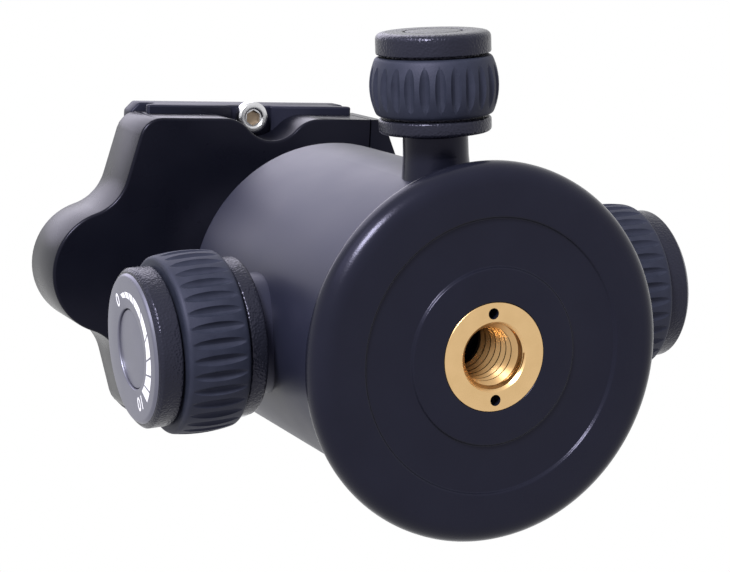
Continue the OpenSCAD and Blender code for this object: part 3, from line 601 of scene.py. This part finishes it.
BODY_R, BODY_LOW, BODY_TOP = 24.2, 4.5, 59.4
CHAMBER_R, CHAMBER_LOW, CAVITY_R, BEARING_R, BEARING_TOP = 20.6, 22, 17, 21.45, 9.75
BARREL_R, NECK_R = 7.5, 4.2
housing = turned(
    "housing_turned",
    [
        (BEARING_R, BODY_LOW), (BODY_R, BODY_LOW, 0.35), (BODY_R, BODY_TOP, 1.0), (CHAMBER_R, BODY_TOP, 0.25),
        (CHAMBER_R, CHAMBER_LOW), (CAVITY_R, CHAMBER_LOW), (CAVITY_R, BEARING_TOP), (BEARING_R, BEARING_TOP),
    ],
    steps=192,
)
for side, radius in ((lock_side, BARREL_R), (friction_side, BARREL_R), (pan_side, NECK_R)):
    cut(housing, post(radius + 0.05, 12, 30, side))
dress(housing, "housing", lit_body_coat, ["housing"])

BALL_Z, BALL_ROOM_R = 49, 18.3
BIG_SCREW_R, SMALL_SCREW_R = 3.05, 2.55
BOSS_R, BOSS_IN = 9.2, 21.6


def boss(name, out, side):
    """The round flange under a large knob with the barrel that guides the brake pad inside."""
    piece = turned(
        name,
        [
            (5.55, 12.5), (BARREL_R, 12.5, 0.2), (BARREL_R, BOSS_IN), (BOSS_R, BOSS_IN), (BOSS_R, out, 0.7),
            (BIG_SCREW_R, out, 0.2), (BIG_SCREW_R, 20.2), (5.55, 20.2),
        ],
    )
    settle(piece, side)
    deselect()
    bpy.ops.mesh.primitive_uv_sphere_add(
        segments=96, ring_count=48, radius=BALL_ROOM_R * MM, location=(0, 0, BALL_Z * MM)
    )
    cut(piece, bpy.context.object)
    dress(piece, "housing", lit_body_coat, [name.removesuffix("_turned")])


boss("lock_boss_turned", 25.7, lock_side)
boss("friction_boss_turned", 29.5, friction_side)
neck = turned(
    "pan_neck_turned",
    [
        (SMALL_SCREW_R, 17), (NECK_R, 17, 0.2), (NECK_R, 22), (5.25, 22), (4.85, 27, 1.5), (4.8, 30.2, 0.25),
        (SMALL_SCREW_R, 30.2, 0.1),
    ],
    steps=64,
)
# The neck keeps the base's darker coat, without the body's painted light.
dress(settle(neck, pan_side), "housing", base_coat, ["pan_neck"])

# %% [markdown]
# ## The knobs
#
# Each knob is a collar and drum of grained plastic, a rubber grip with lens-shaped flutes, and
# a cap. The flutes could be straight grooves, but the real ones die out before the ends of the
# grip. Long ellipsoids set a little outside a barrel-shaped grip cut just such lenses.


# %% Parts of a knob
def core(name, z0, collar_r, collar_h, drum_r, drum_h, screw_r):
    """Collar and drum, bored from below for the screw."""
    top = z0 + collar_h + drum_h
    outline = [
        (0, top - 1), (screw_r, top - 1), (screw_r, z0, 0.15), (collar_r, z0, 0.6),
        (collar_r, z0 + collar_h, 0.45), (drum_r, z0 + collar_h), (drum_r, top), (0, top),
    ]
    return turned(name, outline, closed=False)


BARREL_STEPS = 12
LENS_OUT, LENS_DEEP, LENS_WIDE = 0.8, 1.4, 1.0


def grip(name, z0, drum_r, grip_r, height, sag, flutes, lens_half):
    """A barrel-shaped rubber sleeve with lens-shaped flutes."""
    half = height / 2
    shares = [-1 + 2 * k / BARREL_STEPS for k in range(BARREL_STEPS + 1)]
    barrel = [(grip_r - sag * t * t, z0 + half + half * t) for t in shares]
    barrel[0] += (0.75,)
    barrel[-1] += (0.75,)
    sleeve = turned(name, [(drum_r + 0.05, z0 + height), (drum_r + 0.05, z0)] + barrel, steps=180)
    lenses = []
    reach = (grip_r + LENS_OUT) * MM
    for k in range(flutes):
        angle = math.tau * k / flutes
        deselect()
        bpy.ops.mesh.primitive_uv_sphere_add(
            segments=20, ring_count=24, radius=MM, rotation=(0, 0, angle),
            location=(reach * math.cos(angle), reach * math.sin(angle), (z0 + half) * MM),
            scale=(LENS_DEEP, LENS_WIDE, lens_half),
        )
        lenses.append(bpy.context.object)
    cut(sleeve, settle(join(lenses, "lenses")))
    apply_modifier(
        sleeve, "BEVEL", width=0.09 * MM, segments=2, limit_method="ANGLE", angle_limit=math.radians(24)
    )
    return sleeve


BIG_CAP, WELL_DEPTH, SMALL_CAP = 4.06, 0.8, 3.2


def big_cap(name, z0):
    """A stepped cap with a shallow well in its face. The inlay lies on the well's floor."""
    top = z0 + BIG_CAP
    outline = [
        (0, top - WELL_DEPTH), (6, top - WELL_DEPTH, 0.1), (6.05, top, 0.2), (10.9, top, 0.5),
        (11.25, top - 0.5, 0.15), (11.5, top - 0.52, 0.15), (12, top - 1.0, 0.35), (12, z0, 0.3), (0, z0),
    ]
    return turned(name, outline, closed=False)


def small_cap(name, z0):
    """A cap with a rounded rim and one engraved ring."""
    top = z0 + SMALL_CAP
    outline = [
        (0, z0), (8.45, z0, 0.25), (8.45, top - 0.2, 0.9), (7.2, top, 0.5), (4.45, top, 0.05),
        (4.4, top - 0.3), (4.15, top - 0.3), (4.1, top, 0.05), (0, top),
    ]
    return turned(name, outline, closed=False)


# %% [markdown]
# ### Putting the knobs on
#
# The distances from the pan axis to each collar are the CAD's. The sizes of a large and of a
# small knob stand in two tables and one function does the work, so the four knobs stay alike.

# %% The four knobs
STEP = 0.35
LOCK_START, FRICTION_START, PAN_START, JAW_START = 26, 29.8, 30.5, 23
BIG = {
    "collar": 2.8, "drum": 10.4, "collar_r": 12.1, "drum_r": 10.65, "screw_r": BIG_SCREW_R, "cap": big_cap,
    "grip": {"grip_r": 13.75, "height": 9.7, "sag": 0.5, "flutes": 36, "lens_half": 7.6},
}
SMALL = {
    "collar": 2.2, "drum": 9.3, "collar_r": 8.3, "drum_r": 7.0, "screw_r": SMALL_SCREW_R, "cap": small_cap,
    "grip": {"grip_r": 9.5, "height": 8.6, "sag": 1.0, "flutes": 26, "lens_half": 14},
}


def fit_knob(knob, start, side, kind):
    """Turns and dresses the core, grip and cap of a knob, and gives back its cap."""
    collar, drum, drum_r = kind["collar"], kind["drum"], kind["drum_r"]
    body = core(knob + "_collar", start, kind["collar_r"], collar, drum_r, drum, kind["screw_r"])
    sleeve = grip(knob + "_rubber", start + collar + STEP, drum_r, **kind["grip"])
    cap = kind["cap"](knob + "_top", start + collar + drum)
    for piece, finish, part in ((body, pebbled, "_core"), (sleeve, rubber, "_grip"), (cap, pebbled, "_cap")):
        dress(settle(piece, side), knob, finish, [knob + part])
    return cap


lock_cap = fit_knob("lock_knob", LOCK_START, lock_side, BIG)
friction_cap = fit_knob("friction_knob", FRICTION_START, friction_side, BIG)
fit_knob("pan_knob", PAN_START, pan_side, SMALL)
fit_knob("jaw_knob", JAW_START, jaw_side, SMALL)

# %% [markdown]
# ### Faces of the large caps
#
# The face of a large cap is smoother than its band. It is a second finish on the same mesh:
# every face that lies near the top and inside the stepped rim is given to it. The inlay in the
# well is a thin disc of the same smooth plastic.

# %% Cap faces and inlays
FACE_R, INLAY_R, INLAY_THICK = 11.2, 5.9, 0.45
for cap, side, start, knob in (
    (lock_cap, lock_side, LOCK_START, "lock_knob"),
    (friction_cap, friction_side, FRICTION_START, "friction_knob"),
):
    cap.data.materials.append(cap_face)
    cap_low = start + BIG["collar"] + BIG["drum"]
    for polygon in cap.data.polygons:
        place = side.inverted() @ polygon.center / MM
        if place.z > cap_low + 3.2 and place.xy.length < FACE_R:
            polygon.material_index = 1
    well = cap_low + BIG_CAP - WELL_DEPTH + 0.04
    inlay = turned(
        knob + "_face_disc",
        [(0, well), (INLAY_R, well), (INLAY_R, well + INLAY_THICK, 0.15), (0, well + INLAY_THICK)],
        closed=False,
    )
    dress(settle(inlay, side), knob, cap_face, [knob + "_inlay"])

# %% [markdown]
# ### The scale
#
# A white scale on the lock knob grows from a hairline to a broad bar as the knob is turned
# towards its tight end. It is printed in slanted dashes between the plain numbers 0 and 10.
# The print is a flat mesh two hundredths of a millimetre above the face, so it keeps a crisp
# edge.

# %% Scale of the lock knob
PRINT_Z = LOCK_START + BIG["collar"] + BIG["drum"] + BIG_CAP + 0.02
BOUNDS = [-113, -99, -86, -73, -48, -22, 0, 18, 35, 50]
GAP, SLANT, COLUMNS = 2.2, 3.0, 6
SCALE_R, THIN, GROWTH = 8.05, 0.35, 0.85


def on_face(radius, angle):
    """A point of the lock cap's face. Angle 0 looks towards the base, 90 towards +Y."""
    a = math.radians(180 - angle)
    return (radius * math.cos(a) * MM, radius * math.sin(a) * MM, PRINT_Z * MM)


def dash(start, end):
    """One slanted dash between two angles. Its width grows along the scale."""
    deselect()
    bpy.ops.mesh.primitive_grid_add(x_subdivisions=COLUMNS, y_subdivisions=1, size=1)
    grid = bpy.context.object
    for vertex in grid.data.vertices:
        angle = start + (end - start) * round((vertex.co.x + 0.5) * COLUMNS) / COLUMNS
        share = (angle - BOUNDS[0]) / (BOUNDS[-1] - BOUNDS[0])
        outward = 1 if vertex.co.y > 0 else -1
        radius = SCALE_R + 0.05 * share + outward * (THIN + GROWTH * share)
        vertex.co = on_face(radius, angle - outward * SLANT)
    return grid


marks = [dash(a + GAP / 2, b - GAP / 2) for a, b in zip(BOUNDS, BOUNDS[1:])]
for text, angle in (("0", -127), ("10", 66)):
    deselect()
    bpy.ops.object.text_add(location=on_face(SCALE_R + 0.05, angle), rotation=(0, 0, math.radians(90 - angle)))
    label = bpy.context.object
    label.data.body = text
    label.data.size = 2.9 * MM
    label.data.offset = 0.05 * MM
    label.data.align_x = label.data.align_y = "CENTER"
    bpy.ops.object.convert(target="MESH")
    marks.append(bpy.context.object)
scale = settle(join(marks, "lock_knob_scale"), lock_side)
dress(scale, "lock_knob", white_paint)
use(scale)
bpy.ops.object.mode_set(mode="EDIT")
bpy.ops.mesh.select_all(action="SELECT")
bpy.ops.mesh.remove_doubles(threshold=1e-6)
bpy.ops.object.mode_set(mode="OBJECT")
print("scale:", len(scale.data.polygons), "faces")

# %% [markdown]
# ## Clamp, jaw and plate
#
# These three are milled castings whose outlines the CAD already holds exactly. Drawing them
# again would only add errors, so each is a copy of the CAD mesh: the loose triangles are
# merged, flat faces are dissolved, and the sharp edges get the soft roundings of a casting.


# %% Copies of CAD meshes
def from_cad(node, name):
    """A clean copy of a CAD node: merged, with its flat faces whole."""
    deselect()
    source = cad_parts[node]
    copy = source.copy()
    copy.data = source.data.copy()
    bpy.context.collection.objects.link(copy)
    copy.parent = None
    copy.matrix_world = source.matrix_world
    copy.name = name
    settle(copy)
    bpy.ops.object.mode_set(mode="EDIT")
    bpy.ops.mesh.select_all(action="SELECT")
    bpy.ops.mesh.remove_doubles(threshold=2e-6)
    bpy.ops.mesh.dissolve_limited(angle_limit=math.radians(0.4))
    bpy.ops.mesh.normals_make_consistent(inside=False)
    bpy.ops.object.mode_set(mode="OBJECT")
    return copy


def soften(piece, width, test, segments=3):
    """Rounds sharp edges whose two ends pass the test, which sees points in mm in the clamp's frame."""
    use(piece)
    bpy.ops.object.mode_set(mode="EDIT")
    bpy.ops.mesh.select_mode(type="EDGE")
    bpy.ops.mesh.select_all(action="DESELECT")
    bpy.ops.mesh.edges_select_sharp(sharpness=math.radians(35))
    bpy.ops.object.mode_set(mode="OBJECT")
    inward = clamp_side.inverted()
    passed = [test(inward @ v.co / MM) for v in piece.data.vertices]
    chosen = [e.select and all(passed[v] for v in e.vertices) for e in piece.data.edges]
    for group in (piece.data.vertices, piece.data.polygons):
        group.foreach_set("select", [False] * len(group))
    for edge, keep in zip(piece.data.edges, chosen):
        edge.select = keep
    bpy.ops.object.mode_set(mode="EDIT")
    bpy.ops.mesh.bevel(offset=width * MM, segments=segments, profile=0.5, clamp_overlap=True)
    bpy.ops.object.mode_set(mode="OBJECT")
    print(piece.name, "edges rounded:", sum(chosen))


SEAM_X, CLAMP_LOW, CLAMP_TOP = 15.1, 78, 91
LEVEL_X, PLATE_X, PLATE_HALF_Y, PLATE_HALF_X = -31.2, -3.9, 27.6, 20.8


def clamp_under(p):
    """The underside of the clamp, but not its hub nor its seam with the jaw."""
    return p.z < CLAMP_LOW + 0.05 and p.x < SEAM_X - 0.1 and p.xy.length > 10


def clamp_upper(p):
    """The upper side of the clamp, but not the level's seat."""
    return p.z > CLAMP_TOP - 0.05 and math.hypot(p.x - LEVEL_X, p.y) > 8


def jaw_outer(p):
    """The jaw's outer side, but not the hole of its screw."""
    return p.x > SEAM_X + 1.5 and math.hypot(p.y, p.z - JAW_Z) > 4


def plate_rim(p):
    return abs(p.y) > PLATE_HALF_Y - 0.1 or abs(p.x - PLATE_X) > PLATE_HALF_X - 0.1


clamp_piece = from_cad("clamp_body", "clamp_casting")
soften(clamp_piece, 0.9, clamp_under, 4)
soften(clamp_piece, 0.5, clamp_upper)
dress(clamp_piece, "clamp", shaded_clamp_coat, ["clamp_body"])
jaw_piece = from_cad("movable_jaw", "jaw_casting")
soften(jaw_piece, 0.6, jaw_outer)
dress(jaw_piece, "jaw", shaded_clamp_coat, ["movable_jaw"])
plate_piece = from_cad("camera_plate", "plate_milled")
soften(plate_piece, 0.35, plate_rim, 2)
dress(plate_piece, "plate", plate_coat, ["camera_plate"])

# %% [markdown]
# ### Rubber strips of the plate
#
# Two rubber strips keep the camera from twisting. They are ribbed across, so each is a thin
# bed with a row of small round-topped ribs.

# %% Plate pads
RIBS, PAD_FLOOR, PAD_TOP, PAD_OUT = 30, 94.5, 95.6, 11.85
PAD_HALF_X, PAD_HALF_Y, BED_HALF, RIB_HEIGHT, RIB_HALF = 5.25, 24.5, 0.35, 0.45, 0.55
rib_pitch = 2 * PAD_HALF_Y / RIBS
for node, out in (("plate_pad_right", PAD_OUT), ("plate_pad_left", -PAD_OUT)):
    deselect()
    bpy.ops.mesh.primitive_cube_add(
        size=2, location=((PLATE_X + out) * MM, 0, (PAD_FLOOR + BED_HALF) * MM),
        scale=(PAD_HALF_X * MM, PAD_HALF_Y * MM, BED_HALF * MM),
    )
    bed = settle(bpy.context.object)
    bpy.ops.mesh.primitive_cylinder_add(
        vertices=24, radius=1, depth=2 * PAD_HALF_X * MM, rotation=(0, math.pi / 2, 0),
        location=((PLATE_X + out) * MM, (rib_pitch / 2 - PAD_HALF_Y) * MM, (PAD_TOP - RIB_HEIGHT) * MM),
        scale=(RIB_HEIGHT * MM, RIB_HALF * MM, 1),
    )
    rib = settle(bpy.context.object)
    apply_modifier(
        rib, "ARRAY", count=RIBS, use_relative_offset=False, use_constant_offset=True,
        constant_offset_displace=(0, rib_pitch * MM, 0),
    )
    strip = join([bed, rib], node + "_ribbed")
    dress(settle(strip, clamp_side), "plate", rubber, [node])

# %% [markdown]
# ### Screws
#
# The stop screws' heads show in the notches of the clamp, polished, with a hexagon socket. The
# camera screw has a coin slot, a hexagon and a rolled thread of 20 turns to the inch.

# %% Stop screws and camera screw
STOP_Y, STOP_LOW, STOP_HEAD_R, SOCKET_R = 25.6, 85.6, 2.8, 1.4
plate_spot = clamp_side @ Matrix.Translation((PLATE_X * MM, 0, 0))
heads, sockets = [], []
for end in (1, -1):
    spot = plate_spot @ Matrix.Translation((0, end * STOP_Y * MM, 0))
    head = turned(
        "stop_head",
        [
            (0, 93.9), (1.2, 93.9), (1.2, 87.8), (STOP_HEAD_R, 87.8, 0.1), (STOP_HEAD_R, STOP_LOW, 0.55),
            (1.75, STOP_LOW, 0.12), (1.5, STOP_LOW + 0.25), (0, STOP_LOW + 0.25),
        ],
        closed=False,
        steps=64,
    )
    cut(head, post(SOCKET_R, STOP_LOW - 1, STOP_LOW + 1.4, corners=6))
    heads.append(settle(head, spot))
    sockets.append(settle(post(SOCKET_R - 0.01, STOP_LOW + 1.3, STOP_LOW + 1.38, corners=6), spot))
dress(join(heads, "stop_screws_turned"), "plate", plated_steel, ["stop_screws"])
dress(join(sockets, "stop_screw_sockets"), "plate", dark_steel)

CAMERA_HEAD_R, CAMERA_LOW = 7.3, 87.6
camera_screw = turned(
    "camera_screw_turned",
    [
        (0, CAMERA_LOW), (CAMERA_HEAD_R, CAMERA_LOW, 0.4), (CAMERA_HEAD_R, 90.2, 0.25), (3.17, 90.2),
        (3.17, 91.1, 0.1), (2.47, 91.1), (2.47, 95.6), (2.66, 95.7), (2.66, 100.0), (2.2, 100.58, 0.1),
        (0, 100.58),
    ],
    closed=False,
    steps=96,
)
cut(camera_screw, post(2.3, CAMERA_LOW - 1.6, CAMERA_LOW + 1.8, corners=6))
deselect()
bpy.ops.mesh.primitive_cube_add(size=1, location=(0, 0, CAMERA_LOW * MM), scale=(16 * MM, 1.4 * MM, 2 * MM))
cut(camera_screw, settle(bpy.context.object))
dress(settle(camera_screw, plate_spot), "camera_screw", plated_steel, ["camera_screw"])
stud = threaded("camera_screw_thread", 2.6, 3.16, 1.27, 96.4, 99.7)
dress(settle(stud, plate_spot), "camera_screw", plated_steel, smooth=25)

# %% [markdown]
# ## The bubble level
#
# A round level sits in the lobe of the clamp: a bright ring, a vial of green spirit on a pale
# bed, and a bubble. The black circle on the lid shows where the bubble should stand.

# %% Level
LEVEL_FLOOR, VIAL_R, RING_R, RING_TOP = 86.0, 5.6, 7.2, 4.8
level_spot = clamp_side @ Matrix.Translation((LEVEL_X * MM, 0, LEVEL_FLOOR * MM))


def fill_level(name, finish, outline, nodes=(), closed=False, steps=96):
    """Turns one part of the level, puts it in its place and dresses it."""
    dress(settle(turned(name, outline, closed, steps), level_spot), "clamp", finish, nodes)


fill_level(
    "level_ring_turned", polished_alloy,
    [(VIAL_R + 0.05, 0), (RING_R, 0), (RING_R, RING_TOP, 0.3), (VIAL_R + 0.05, RING_TOP, 0.5)],
    ["level_ring"], closed=True,
)
fill_level("level_vial_turned", spirit, [(0, 0.5), (VIAL_R, 0.5), (VIAL_R, 4, 0.3), (0, 4.3)], ["level_vial"])
fill_level("level_bed", nylon, [(0, 0.05), (VIAL_R, 0.05), (VIAL_R, 0.4), (0, 0.4)])
fill_level("level_mark", ink, [(2.2, 4.26), (2.5, 4.26), (2.5, 4.34), (2.2, 4.34)], closed=True, steps=64)
fill_level(
    "level_bubble", air, [(0, 3.3), (1.2, 3.35, 0.2), (1.75, 3.7, 0.3), (1.2, 4.05, 0.2), (0, 4.1)], steps=48
)

# %% [markdown]
# ## Finishes of the inner parts
#
# The rest of the mechanism is plain turned work that the CAD already shows well: the ball and
# its stem, washers, springs, brake pads and inner screws. They keep the CAD meshes and only
# get a finish, so a cut-away or an exploded view looks right too.

# %% Inner parts
INNER = {
    "spindle": base_coat, "spindle_washer": plated_steel, "spindle_nut": plated_steel,
    "chamber_floor": lit_body_coat, "bearing_ring": bearing_brass, "bearing_screws": plated_steel,
    "pan_washer": nylon, "top_collar": lit_body_coat, "ball_seat_ring": nylon, "cup_spring": plated_steel,
    "pan_screw": plated_steel, "pan_pad": nylon, "lock_screw": plated_steel, "lock_pad": nylon,
    "friction_screw": plated_steel, "friction_pad": nylon, "friction_spring": plated_steel,
    "lower_cup": nylon, "ball": polished_alloy, "ball_stem": polished_alloy, "clamp_bolt": plated_steel,
    "guide_pins": plated_steel, "jaw_springs": plated_steel, "jaw_screw": plated_steel,
    "screw_washer": nylon,
}
for node, finish in INNER.items():
    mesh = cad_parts[node].data
    mesh.materials.clear()
    mesh.materials.append(finish)
print(len(INNER), "inner parts dressed")

# %% [markdown]
# ## The floor
#
# The floor is pale paper under the base. The camera of the photograph looks from below it, so
# its material lets the back side through, and only the camera sees it: it neither blocks light
# nor throws any.

# %% Floor and finish
bpy.ops.mesh.primitive_plane_add(size=3)
floor = bpy.context.object
floor.name = "floor"
ground = Finish("floor_paper", Base_Color=(0.86, 0.86, 0.86), Roughness=0.9)
facing = ground.node("ShaderNodeNewGeometry", output="Backfacing")
through = ground.node("ShaderNodeBsdfTransparent")
paper = Wire(ground, ground.shader.outputs[0])
chosen = ground.node("ShaderNodeMixShader", {}, [facing, paper, through])
ground.tree.links.new(chosen.socket, ground.tree.nodes["Material Output"].inputs["Surface"])
floor.data.materials.append(ground.material)
for way in ("diffuse", "glossy", "transmission", "shadow", "volume_scatter"):
    setattr(floor, "visible_" + way, False)
